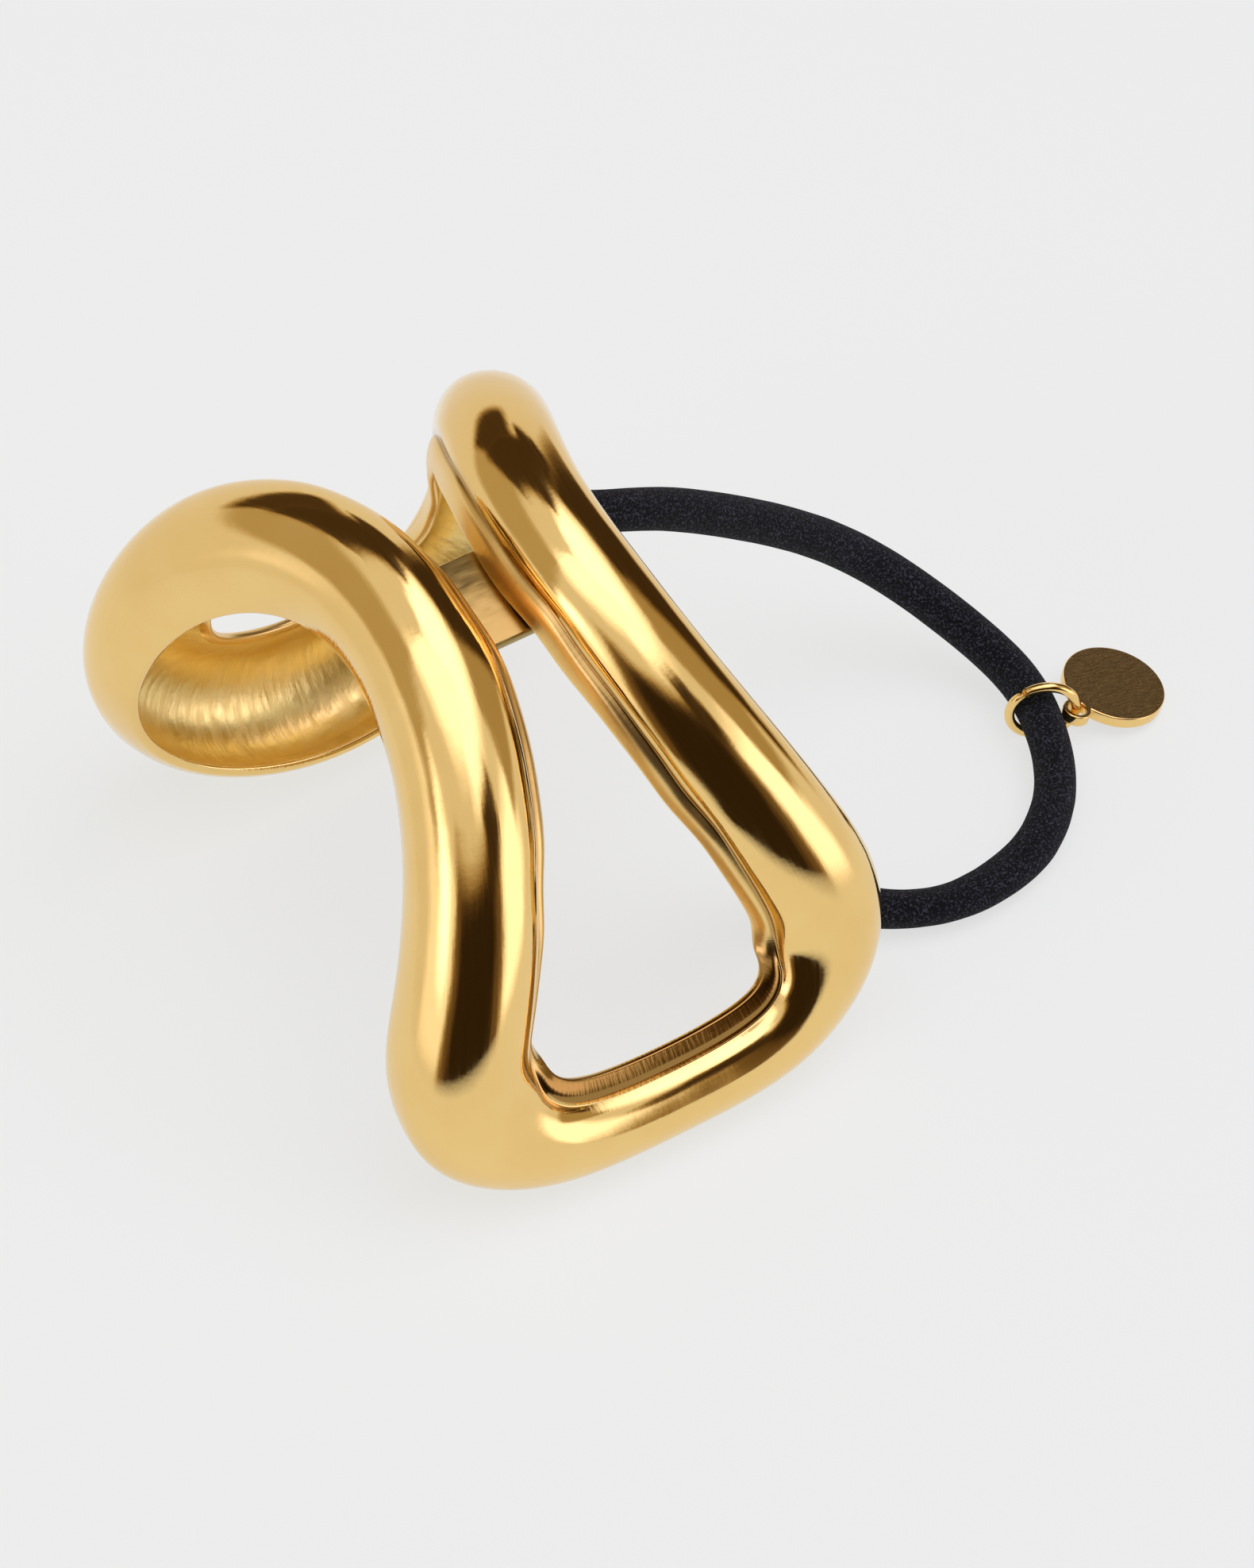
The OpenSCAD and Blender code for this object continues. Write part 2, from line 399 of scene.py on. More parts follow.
def jump_ring_tree():
    """A turn of round wire with a fine gap, where its ends meet."""
    tree, given, result = new_group(
        "wire_ring",
        "GeometryNodeTree",
        [
            ("Start", "NodeSocketGeometry", None),
            ("Radius", "NodeSocketFloat", 0.003),
            ("Wire", "NodeSocketFloat", 0.001),
            ("Seam", "NodeSocketFloat", 0.02),
            ("Seam place", "NodeSocketFloat", 0.0),
            ("Metal", "NodeSocketMaterial", None),
        ],
        [("Ring", "NodeSocketGeometry")],
    )
    g = given.outputs
    turn = add_node(
        tree,
        "GeometryNodeCurveArc",
        {
            "Resolution": RING_POINTS,
            "Radius": g["Radius"],
            "Start Angle": g["Seam place"],
            "Sweep Angle": calc(tree, "SUBTRACT", 2 * math.pi, g["Seam"]),
        },
    )
    section = add_node(
        tree,
        "GeometryNodeCurvePrimitiveCircle",
        {"Resolution": WIRE_SIDES, "Radius": calc(tree, "MULTIPLY", g["Wire"], 0.5)},
    )
    wire = add_node(
        tree,
        "GeometryNodeCurveToMesh",
        {"Curve": turn.outputs[0], "Profile Curve": section.outputs[0], "Fill Caps": True},
    )
    end_tree(tree, wire.outputs[0], g["Metal"], result)
    return tree


# %% Jump ring
WIRE_D = 1.0
RING_RADIUS = 3.25
RING_AT = Vector((58.3, -8.9, 3.8))
RING_TURN = 65
RING_LEAN = 87
RING_SEAM = 1.6
RING_SEAM_PLACE = 150


def turned(x=0, y=0, z=0):
    """A turn about x, then about y, then about z, in degrees."""
    total = Matrix.Identity(4)
    for axis, angle in (("Z", z), ("Y", y), ("X", x)):
        total = total @ Matrix.Rotation(math.radians(angle), 4, axis)
    return total


polished_gold = bpy.data.materials.new("polished_gold")
jump_ring = mesh_from_tree(
    curve_through([(0, 0, 0), (0, 0, MM)], "ring_start"),
    jump_ring_tree(),
    "wire_jump_ring",
    {
        "Radius": RING_RADIUS * MM,
        "Wire": WIRE_D * MM,
        "Seam": math.radians(RING_SEAM),
        "Seam place": math.radians(RING_SEAM_PLACE),
        "Metal": polished_gold,
    },
)
jump_ring.data.transform(
    Matrix.Translation(RING_AT * MM) @ turned(z=RING_TURN) @ turned(y=RING_LEAN)
)
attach(jump_ring, "root")
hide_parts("jump_ring")

# %% [markdown]
# ## The tag
# The tag is stamped from sheet: a disc with a small lug in one piece. A flat curve
# with its outline and the lug's hole, thickened and bevelled, is the quickest way to
# a stamping with a soft edge. The curve is made a mesh before it goes to its place.
# Blender leaves its faces and its rim apart, so points in one place are then merged.

# %% Outline of the tag
TAG_D = 10.2
TAG_T = 1.2
TAG_EDGE = 0.16
LUG_HOLE_R = 0.9
DISC_STEPS, LUG_STEPS, HOLE_STEPS = 120, 40, 32
LUG_R = 1.4
LUG_AT = 6.1
LUG_ON_RING = 284
LUG_HANG = 3.4
TAG_TURN = -19
TAG_LEAN = 13.5
LUG_SIDE = 215


def arc(radius, start, end, steps, middle=0):
    """Points of an arc about (middle, 0), from one angle to another in degrees."""
    angles = [math.radians(start + (end - start) * i / steps) for i in range(steps + 1)]
    return [(middle + radius * math.cos(a), radius * math.sin(a)) for a in angles]


neck_x = (LUG_AT**2 + LUG_R**2 - (TAG_D / 2) ** 2) / (2 * LUG_AT)
neck_on_lug = math.degrees(math.acos(neck_x / LUG_R))
neck_on_disc = math.degrees(math.acos((LUG_AT - neck_x) / (TAG_D / 2)))
tag_outline = arc(TAG_D / 2, neck_on_disc, 360 - neck_on_disc, DISC_STEPS, -LUG_AT)
tag_outline += arc(LUG_R, neck_on_lug - 180, 180 - neck_on_lug, LUG_STEPS)
lug_hole = arc(LUG_HOLE_R, 0, 360 - 360 / HOLE_STEPS, HOLE_STEPS - 1)
print("tag outline", len(tag_outline), "points")

# %% Tag
tag_curve = bpy.data.curves.new("tag_outline", "CURVE")
tag_curve.dimensions = "2D"
tag_curve.fill_mode = "BOTH"
tag_curve.extrude = (TAG_T / 2 - TAG_EDGE) * MM
tag_curve.bevel_depth = TAG_EDGE * MM
tag_curve.bevel_resolution = 3
tag_curve.offset = -TAG_EDGE * MM
for outline in (tag_outline, lug_hole):
    spline = tag_curve.splines.new("POLY")
    spline.points.add(len(outline) - 1)
    for made, (x, y) in zip(spline.points, outline):
        made.co = (x * MM, y * MM, 0, 1)
    spline.use_cyclic_u = True
tag_mesh = plain_mesh(new_object("flat_tag", tag_curve), "stamped_tag")
sewn = bmesh.new()
sewn.from_mesh(tag_mesh)
bmesh.ops.remove_doubles(sewn, verts=sewn.verts, dist=MERGE * MM)
sewn.to_mesh(tag_mesh)
sewn.free()
ring_plane = turned(z=RING_TURN) @ turned(y=RING_LEAN)
on_wire = ring_plane @ turned(z=LUG_ON_RING) @ Vector((1, 0, 0))
tag_place = Matrix.Translation((RING_AT + on_wire * LUG_HANG) * MM)
tag_place = tag_place @ turned(z=TAG_TURN) @ turned(y=TAG_LEAN) @ turned(z=LUG_SIDE)
tag_mesh.transform(tag_place)
tag = new_object("stamped_tag", tag_mesh)
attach(tag, "root")
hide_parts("tag")
print("tag", len(tag_mesh.polygons), "faces")

# %% [markdown]
# ## Start of the elastic
# The cord's first point, where it leaves the bridge, is printed.

print("cord leaves the bridge at", [round(x, 4) for x in elastic_path[0]])

# %% [markdown]
# ## The loop of tube
# Rows of a table say where the tube's middle lies and what its section looks like
# there. The path is that of the CAD source, followed in finer steps. The section has a
# round crown, a crease on the window side with a flared flank below it, a wall on the
# outer side, and the same again a wall's thickness further in. The columns of the
# window side depart from the solid by up to a millimetre, to follow the photograph
# closely: the flank is narrower, and toward the front bar the last column, fold, lowers
# the crease.

# %% Table of the loop
HALF_SPAN, REACH, ARCH_H, TURN_H, FOOT_DROP = 20, 30, 50, 12, 0.535
UP, WIDTH, TILT = 2, 3, 9
WAIST_ROW = 9
half_loop = [
    # across, along, up, width, inner, flare, flank, crown, sides, tilt, fold
    [0.00, -0.985, 0.116, 0.86, 0.79, 1.10, 1.60, 0.90, 1.00, 0, 1.00],
    [0.37, -0.980, 0.117, 0.90, 0.81, 1.10, 1.60, 0.92, 1.00, 0, 0.95],
    [0.65, -0.962, 0.136, 1.03, 0.79, 1.00, 1.50, 0.95, 1.00, 0, 0.80],
    [0.85, -0.927, 0.190, 1.18, 0.83, 0.78, 1.40, 0.97, 1.00, 0, 0.55],
    [0.95, -0.892, 0.268, 1.13, 0.90, 0.62, 1.30, 0.98, 1.00, 0, 0.25],
    [0.97, -0.860, 0.360, 1.00, 1.02, 0.56, 1.20, 1.00, 1.00, 0, 0.05],
    [0.86, -0.810, 0.465, 0.98, 1.02, 0.60, 1.05, 1.00, 1.00, 0, 0.00],
    [0.68, -0.670, 0.610, 1.00, 0.90, 0.70, 1.10, 1.00, 1.00, 0, 0.00],
    [0.50, -0.450, 0.750, 1.03, 0.88, 0.67, 1.10, 1.00, 1.00, 0, 0.00],
    [0.40, -0.150, 0.860, 1.03, 0.84, 0.67, 1.70, 1.00, 1.00, 0, 0.00],
    [0.39, 0.180, 0.905, 1.02, 0.82, 0.75, 1.80, 1.02, 1.00, 0, 0.00],
    [0.53, 0.470, 0.895, 1.00, 0.83, 0.65, 1.70, 1.05, 1.10, 0, 0.00],
    [0.75, 0.740, 0.785, 0.98, 0.85, 0.80, 1.70, 1.06, 1.15, 0, 0.00],
    [0.94, 0.900, 0.590, 1.00, 0.86, 1.00, 1.70, 1.06, 1.15, 0, 0.00],
    [0.97, 0.960, 0.390, 1.02, 0.88, 1.00, 1.70, 1.04, 1.10, 8, 0.00],
    [0.65, 0.980, 0.202, 1.07, 0.92, 1.00, 1.70, 1.00, 0.98, 16, 0.00],
    [0.00, 0.960, 0.108, 1.12, 0.95, 1.00, 1.70, 1.00, 0.92, 18, 0.00],
]
left_limb = [[-row[0], *row[1:]] for row in half_loop[-2:0:-1]]
loop_rows = half_loop + left_limb
print("loop of", len(loop_rows), "rows")


# %% Middle of the tube and its three directions
def tube_frame(t):
    """Middle, side and crown direction of the tube, and its row, t rows along."""
    row, slope = row_at(loop_rows, t), slope_at(loop_rows, t)
    size = Vector((HALF_SPAN, REACH, ARCH_H))
    middle = Vector(row[:3]) * size - Vector((0, 0, FOOT_DROP))
    ahead = (Vector(slope[:3]) * size).normalized()
    away = Vector((0, middle.y, middle.z - TURN_H)).normalized()
    plain = (away - away.dot(ahead) * ahead).normalized()
    tilt = math.radians(row[TILT])
    crown = plain * math.cos(tilt) + ahead.cross(plain) * math.sin(tilt)
    return middle, ahead.cross(crown), crown, row


# %% [markdown]
# ## Section of the tube
# The corners of the CAD section are sharp. Real edges have been tumbled and polished,
# so each corner here is a small round one. The crown dips into a shallow groove beside
# the crease, and the flank below it curves out into a lip. The crease wanders up and
# down a little along the limbs, because it was raised by hand. Waves that fit a whole
# number of times into the loop give that without a break at its end, and they fade out
# on the way down to the bars.

# %% Sizes of the section
TUBE_W, CROWN_H, SIDE_H = 12, 5.7, 4.2
CREASE_H, FLANK_H = 2.3, 1.5
WALL, RIM_WALL = 1.2, 0.9
FLARE, OUTER_LEAN = 1.7, 1
CROWN_STEPS, HOLLOW_STEPS = 32, 20
LIP = [(0.10, 0.06), (0.34, 0.17), (0.52, 0.32), (0.71, 0.56), (0.87, 0.80)]
OUTER_WALL = [(0.45, 0.68), (0.12, 0.34)]
GROOVE, GROOVE_STEPS = 0.34, 4
CREASE_SOFT, RIM_SOFT, CORNER_POINTS = 0.28, 0.34, 5
CREASE_WAVES = [(0.30, 7, 0.4), (0.26, 15, 2.1), (0.20, 27, 4.0), (0.08, 43, 1.0)]
WAVES_FROM, WAVES_OVER = 0.40, 0.25


def crease_wave(t, height):
    """Rise of the crease line at t rows along, in millimetres; none near the floor."""
    share = 2 * math.pi * t / len(loop_rows)
    waves = sum(size * math.sin(count * share + start) for size, count, start in CREASE_WAVES)
    above = min(1, max(0, (height - WAVES_FROM) / WAVES_OVER))
    return waves * above**2 * (3 - 2 * above)


def rounded(points, corners):
    """The outline with the named corners turned into small curves of a given reach."""
    made = []
    for i, (x, y, name) in enumerate(points):
        if not corners.get(name):
            made.append((x, y))
            continue
        here = Vector((x, y))
        before = Vector(points[i - 1][:2]) - here
        after = Vector(points[(i + 1) % len(points)][:2]) - here
        reach = corners[name]
        start = here + before.normalized() * min(reach, before.length * 0.45)
        end = here + after.normalized() * min(reach, after.length * 0.45)
        for k in range(CORNER_POINTS):
            s = k / (CORNER_POINTS - 1)
            made.append(tuple((1 - s) ** 2 * start + 2 * s * (1 - s) * here + s**2 * end))
    return made


# %% Outline of the section
def section(row, rise):
    """Outline of the tube: x to the outer side, y to the crown, in millimetres."""
    width, inner, flare_share, flank_share, crown_share, sides_share, _, fold = row[WIDTH:]
    a = width * TUBE_W / 2
    b = a * inner
    flare, flank = flare_share * FLARE, flank_share * FLANK_H - fold
    up, down = crown_share * CROWN_H, sides_share * SIDE_H
    crease = CREASE_H - fold + rise
    last = math.pi - math.asin(crease / up)
    c = -b / math.cos(last)
    points = []
    for k in range(CROWN_STEPS + 1):
        w = last * k / CROWN_STEPS
        name = "crease" if k == CROWN_STEPS else ""
        x = (a if w < math.pi / 2 else c) * math.cos(w)
        dip = GROOVE * max(0, 1 - (CROWN_STEPS - k) / GROOVE_STEPS) ** 2
        points.append((x + dip, up * math.sin(w), name))
    for out, drop in LIP:
        points.append((-b - out * flare, crease - drop * flank, ""))
    # The rim of the flank, and the tuck behind it where the hollow begins.
    low = crease - flank
    points.append((-b - flare, low, "rim"))
    points.append((-b - flare + 0.5 * RIM_WALL, low - 0.8 * RIM_WALL, "rim"))
    tuck = crease - 0.65 * flank - 0.9 * RIM_WALL
    points.append((-b - 0.5 * flare + 0.5 * RIM_WALL, tuck, ""))
    # Over the inside of the crown, and down to the rim of the outer side.
    for k in range(HOLLOW_STEPS, -1, -1):
        w = last * k / HOLLOW_STEPS
        half = (a if w < math.pi / 2 else c) - WALL
        points.append((half * math.cos(w), (up - WALL) * math.sin(w), ""))
    points.append((a - 0.4 * OUTER_LEAN - RIM_WALL - 0.1, -0.55 * down, ""))
    points.append((a - OUTER_LEAN - RIM_WALL, -down, "rim"))
    points.append((a - OUTER_LEAN, -down, "rim"))
    for lean, drop in OUTER_WALL:
        points.append((a - lean * OUTER_LEAN, -drop * down, ""))
    return rounded(points, {"crease": CREASE_SOFT, "rim": RIM_SOFT})


ring_size = len(section(loop_rows[0], 0))
lip_from = CROWN_STEPS + CORNER_POINTS
hollow_from = lip_from + len(LIP) + 2 * CORNER_POINTS
hollow_to = hollow_from + HOLLOW_STEPS + 3
print("section of", ring_size, "points")

# %% [markdown]
# ## Skin of the tube
# A swept curve keeps one section all the way, and here the section changes at every
# step. So rings of section points are made one by one, and each is joined to the next
# all round, which closes the skin. Every corner of every face also keeps a "flow"
# coordinate: where it lies along the loop and how far round the section. Along the
# loop it runs on a circle, so it meets itself where the loop closes. Polishing marks
# can then follow the tube round every bend. Two more attributes say how much painted
# dark a point gets, as painted shade in the crease and a painted dark reflection on
# the front bar's lip, and how little polish it has had.

# %% Loft the loop
LOOP_STEPS = 12
# Shares of painted shade in the crease and of a painted dark reflection on the bar's lip.
CREASE_PAINTED_SHADE, LIP_PAINTED_DARK_REFLECTION = 0.6, 0.85
BAR_REACH, BAR_FADE = 4.8, 2
# How much less painted shade the crease gets on the bar, and how much more polish the bar has.
CREASE_SHADE_CUT_ON_BAR, SHINE_ON_BAR = 0.7, 0.8


def finish_of(t):
    """Painted shade and dark reflection, and lack of polish, of every point round the section
    at t.
    """
    from_front = min(t, len(loop_rows) - t)
    on_bar = min(1, max(0, (BAR_REACH - from_front) / BAR_FADE))
    # Painted shade in the crease, less of it on the bar, and a painted dark reflection on the
    # bar's lip.
    crease = CREASE_PAINTED_SHADE * (1 - CREASE_SHADE_CUT_ON_BAR * on_bar)
    painted_dark = [0] * (CROWN_STEPS - 1) + [0.3 * crease] + [crease] * CORNER_POINTS
    painted_dark += [LIP_PAINTED_DARK_REFLECTION * on_bar] * (len(LIP) + CORNER_POINTS)
    unpolished = 1 - SHINE_ON_BAR * on_bar
    dull = [0] * (lip_from - 2) + [0.5 * unpolished]
    dull += [unpolished] * (hollow_from - lip_from + 1)
    rest = [0] * ring_size
    return (painted_dark + rest)[:ring_size], (dull + rest)[:ring_size]


def lofted_loop():
    """Points, faces and flow coordinates of the tube, and each point's way round it."""
    count = len(loop_rows) * LOOP_STEPS
    rings, gone = [], [0.0]
    for i in range(count):
        middle, side, crown, row = tube_frame(i / LOOP_STEPS)
        outline = section(row, crease_wave(i / LOOP_STEPS, row[UP]))
        rings.append([(middle + x * side + y * crown) * MM for x, y in outline])
    middles = [tube_frame(i / LOOP_STEPS)[0] for i in range(count)]
    for here, there in zip(middles, middles[1:] + middles[:1]):
        gone.append(gone[-1] + (there - here).length)
    radius = gone[-1] / (2 * math.pi)
    round_by = [0.0]
    outline = section(loop_rows[WAIST_ROW], 0)
    for p, q in zip(outline, outline[1:] + outline[:1]):
        round_by.append(round_by[-1] + math.dist(p, q))
    faces, flows = [], []
    for i in range(count):
        for j in range(ring_size):
            corners = [(i, j), (i + 1, j), (i + 1, j + 1), (i, j + 1)]
            faces.append([(p % count) * ring_size + q % ring_size for p, q in corners])
            for p, q in corners:
                turn = gone[p] / radius
                flows.append((radius * math.cos(turn), radius * math.sin(turn), round_by[q]))
    return [p for ring in rings for p in ring], faces, flows, round_by


loop_points, loop_faces, loop_flows, round_by = lofted_loop()
crease_round = round_by[CROWN_STEPS]
print("loop", len(loop_points), "points", len(loop_faces), "faces")
print("crease", round(crease_round, 1), "mm round the section")

# %% [markdown]
# ## The bridge plate
# The plate is a strip of sheet soldered across the backs of both limbs. Its shape is
# so plain that a box with a Bevel modifier will do. It is set square to the crown
# direction where it lies, and joined to the loop's mesh as one body of metal.

# %% Bridge plate
BRIDGE_ROW, BRIDGE_L, BRIDGE_T, BRIDGE_DROP, BRIDGE_COVER = 9.45, 9.6, 1.2, 1.1, 0.88
BRIDGE_SOFT = 0.22


def bridge_block():
    """The plate as a box with bevelled edges, in its place."""
    middle, _, crown, row = tube_frame(BRIDGE_ROW)
    half = middle.x + BRIDGE_COVER * row[WIDTH] * TUBE_W / 2
    slope = math.degrees(math.atan2(-crown.y, crown.z))
    mesh = bpy.data.meshes.new("bridge_plate")
    ends, edges = (-half, half), (-BRIDGE_L / 2, BRIDGE_L / 2)
    levels = (-BRIDGE_DROP - BRIDGE_T, -BRIDGE_DROP)
    corners = [(x, y, z) for x in ends for y in edges for z in levels]
    quads = [(0, 1, 3, 2), (4, 6, 7, 5), (0, 4, 5, 1), (2, 3, 7, 6), (0, 2, 6, 4), (1, 5, 7, 3)]
    mesh.from_pydata([Vector(c) * MM for c in corners], [], quads)
    mesh.transform(Matrix.Translation(Vector((0, middle.y, middle.z)) * MM) @ turned(x=slope))
    plate = new_object("bridge_plate", mesh)
    bevel = plate.modifiers.new("soft_edges", "BEVEL")
    bevel.width = BRIDGE_SOFT * MM
    bevel.segments = 3
    return plate


plate_mesh = plain_mesh(bridge_block(), "bridge_plate")
plate_points = [v.co.copy() for v in plate_mesh.vertices]
plate_faces = [[len(loop_points) + v for v in p.vertices] for p in plate_mesh.polygons]
print("plate", len(plate_points), "points")

# %% Cuff
cuff_mesh = bpy.data.meshes.new("cuff_body")
cuff_mesh.from_pydata(loop_points + plate_points, [], loop_faces + plate_faces)
flow = cuff_mesh.attributes.new("flow", "FLOAT_VECTOR", "CORNER")
for i, value in enumerate(loop_flows):
    flow.data[i].vector = value
finishes = [finish_of(i / LOOP_STEPS) for i in range(len(loop_points) // ring_size)]
# The painted shade and dark reflection, and the dullness, are kept on the points.
for name, which in (("painted_dark", 0), ("dull", 1)):
    share = cuff_mesh.attributes.new(name, "FLOAT", "POINT")
    for i, shade in enumerate(x for both in finishes for x in both[which]):
        share.data[i].value = shade
for face in cuff_mesh.polygons:
    face.use_smooth = True
satin_gold = bpy.data.materials.new("satin_gold")
plate_gold_painted_shade = bpy.data.materials.new("plate_gold_painted_shade")
for finish in (polished_gold, satin_gold, plate_gold_painted_shade):
    cuff_mesh.materials.append(finish)
for i, face in enumerate(cuff_mesh.polygons):
    in_hollow = hollow_from <= i % ring_size < hollow_to
    face.material_index = 2 if i >= len(loop_faces) else int(in_hollow)
cuff = new_object("cuff_body", cuff_mesh)
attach(cuff, "root")
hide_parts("cuff")
print("cuff", len(cuff_mesh.vertices), "points")

# %% [markdown]
# ## Marks that several finishes share
# Hand polishing leaves fine lines, and hand forming leaves slow dents. Both are shader
# node groups: built once, then placed in each finish with its own sizes. They put out
# only values from 0 to 1; the shader itself stays in each material.


# %% Shader group: fine lines that follow the piece
def polishing_lines():
    """Noise stretched into lines; the two densities are per unit of the given vector."""
    tree, given, result = new_group(
        "polishing_lines",
        "ShaderNodeTree",
        [
            ("Vector", "NodeSocketVector", None),
            ("Along", "NodeSocketFloat", 0.2),
            ("Around", "NodeSocketFloat", 3.0),
        ],
        [("Lines", "NodeSocketFloat")],
    )
    g = given.outputs
    density = add_node(
        tree, "ShaderNodeCombineXYZ", {"X": g["Along"], "Y": g["Along"], "Z": g["Around"]}
    )
    stretched = add_node(
        tree,
        "ShaderNodeVectorMath",
        {0: g["Vector"], 1: density.outputs[0]},
        operation="MULTIPLY",
    )
    noise = noise_on(tree, stretched.outputs[0], 1.0)
    spread = spread_over(tree, noise, 0.0, 1.0, 0.3, 0.7, "SMOOTHSTEP")
    tree.links.new(spread, result.inputs["Lines"])
    return tree


# %% Shader group: slow dents of hand work
def hand_dents():
    """Slow unevenness of a formed surface, in metres of object space."""
    tree, given, result = new_group(
        "hand_dents",
        "ShaderNodeTree",
        [("Position", "NodeSocketVector", None), ("Size", "NodeSocketFloat", 0.006)],
        [("Height", "NodeSocketFloat"), ("Tint", "NodeSocketFloat")],
    )
    g = given.outputs
    per_size = calc(tree, "DIVIDE", 1.0, g["Size"])
    for output, detail in (("Height", 1.0), ("Tint", 4.0)):
        noise = noise_on(tree, g["Position"], per_size, detail)
        tree.links.new(noise, result.inputs[output])
    return tree


lines_group, dents_group = polishing_lines(), hand_dents()
print("shader groups", lines_group.name, dents_group.name)


# %% Building blocks of a finish
def bumped(tree, height, distance, normal=None):
    """A normal bent by a height map; the distance is in metres."""
    values = {"Height": height, "Distance": distance, "Strength": 1.0}
    if normal is not None:
        values["Normal"] = normal
    return add_node(tree, "ShaderNodeBump", values).outputs["Normal"]


def two_tone(tree, share, first, second):
    """A colour between two, each given as a colour or a socket."""
    ends = [c if isinstance(c, bpy.types.NodeSocket) else (*c, 1) for c in (first, second)]
    values = {"Factor": share, "A": ends[0], "B": ends[1]}
    return add_node(tree, "ShaderNodeMix", values, data_type="RGBA").outputs["Result"]


def fresh(material):
    """The material's node tree and its Principled shader."""
    material.use_nodes = True
    tree = material.node_tree
    return tree, tree.nodes["Principled BSDF"]


def place_on(tree):
    """Where a point lies on its piece, in metres."""
    return add_node(tree, "ShaderNodeTexCoord").outputs["Object"]


def kept(tree, name, output="Fac"):
    """An attribute that the mesh keeps."""
    return add_node(tree, "ShaderNodeAttribute", attribute_name=name).outputs[output]


def placed(tree, group, vector, **sizes):
    """A shared group in a material, with its vector linked and its sizes set."""
    return add_node(tree, "ShaderNodeGroup", {0: vector, **sizes}, node_tree=group).outputs


def make_metal(material, tree, shader, colour, roughness, normal):
    """Feeds a metal's shader and says how many nodes its material has."""
    values = {"Base Color": colour, "Metallic": 1, "Roughness": roughness, "Normal": normal}
    feed(tree, shader, values)
    print(material.name, "with", len(tree.nodes), "nodes")


# %% [markdown]
# ## Polished gold
# Gold plate is a metal whose colour is its reflection colour, so Metallic is 1 and the
# base colour is a warm yellow. It is never perfectly smooth. Slow dents bend the
# reflections, a fine grain blurs their edges, and drawn lines run along the tube, which
# the roughness follows a little. Short combing marks end at the crease, where the
# polishing wheel had to stop. A dark brown mixed into the colour paints shade into the
# crease and a dark reflection onto the lip of the front bar; the rest of the lip is
# duller than the crown.

# %% Polished gold
GOLD = (0.94, 0.675, 0.275)
GOLD_WARM = (0.87, 0.575, 0.205)
COMBED = 1.6
LIP_ROUGHNESS = 0.30
# Dark brown mixed into the gold: painted shade in the crease and a painted dark reflection on
# the front bar's lip.
PAINTED_DARK_COLOUR = (0.25, 0.12, 0.022)


def dress_polished_gold():
    """Bright gold with dents, grain, drawn lines, combing, painted shade and dark reflection,
    and a dull lip.
    """
    tree, shader = fresh(polished_gold)
    flow_at, place = kept(tree, "flow", "Vector"), place_on(tree)
    dents = placed(tree, dents_group, place, Size=7 * MM)
    small_dents = placed(tree, dents_group, place, Size=1.2 * MM)
    combed = placed(tree, lines_group, flow_at, Along=3.2, Around=0.35)["Lines"]
    drawn = placed(tree, lines_group, flow_at, Along=0.16, Around=3.5)["Lines"]
    split = add_node(tree, "ShaderNodeSeparateXYZ", {0: flow_at})
    combed_span = (crease_round - COMBED, crease_round)
    near = spread_over(tree, split.outputs["Z"], 0.0, 1.0, *combed_span, "SMOOTHSTEP")
    combing = calc(tree, "MULTIPLY", combed, near)
    normal = bumped(tree, dents["Height"], 0.10 * MM)
    normal = bumped(tree, small_dents["Height"], 0.004 * MM, normal=normal)
    normal = bumped(tree, combing, 0.004 * MM, normal=normal)
    normal = bumped(tree, drawn, 0.0012 * MM, normal=normal)
    normal = bumped(tree, noise_on(tree, place, 2800.0, 3.0), 0.0022 * MM, normal=normal)
    gold = two_tone(tree, dents["Tint"], GOLD, GOLD_WARM)
    # The painted shade and dark reflection darken the gold where the points ask for it.
    colour = two_tone(tree, kept(tree, "painted_dark"), gold, PAINTED_DARK_COLOUR)
    polished = spread_over(tree, drawn, 0.06, 0.12)
    roughness = spread_over(tree, kept(tree, "dull"), polished, LIP_ROUGHNESS)
    make_metal(polished_gold, tree, shader, colour, roughness, normal)


dress_polished_gold()

# %% [markdown]
# ## Satin gold
# Nobody polishes the open back of the tube. Its metal is as cast: satin, with soft
# glints that run round the section where a tool has burnished it. Its colour is paler
# than the polished gold: painted light that brightens the hollow.

# %% Satin gold
# Paler than the polished gold: painted light that brightens the hollow; the deep one varies it
# at random.
SATIN_PAINTED_LIGHT = (0.99, 0.81, 0.37)
SATIN_PAINTED_LIGHT_DEEP = (0.97, 0.75, 0.27)


def dress_satin_gold():
    """Satin gold, pale with painted light, with burnish marks that run round the hollow."""
    tree, shader = fresh(satin_gold)
    flow_at, place = kept(tree, "flow", "Vector"), place_on(tree)
    dents = placed(tree, dents_group, place, Size=3 * MM)
    burnish = placed(tree, lines_group, flow_at, Along=1.3, Around=0.28)["Lines"]
    normal = bumped(tree, dents["Height"], 0.12 * MM)
    normal = bumped(tree, burnish, 0.022 * MM, normal=normal)
    normal = bumped(tree, noise_on(tree, place, 2600.0), 0.016 * MM, normal=normal)
    # The pale colour paints light into the hollow.
    colour = two_tone(tree, dents["Tint"], SATIN_PAINTED_LIGHT, SATIN_PAINTED_LIGHT_DEEP)
    roughness = spread_over(tree, burnish, 0.30, 0.46)
    make_metal(satin_gold, tree, shader, colour, roughness, normal)


dress_satin_gold()

# %% [markdown]
# ## Soldered plate
# The plate went on with solder, after the polishing. It is duller than the rest, with
# faint file marks across it, and browner: that brown is painted shade.

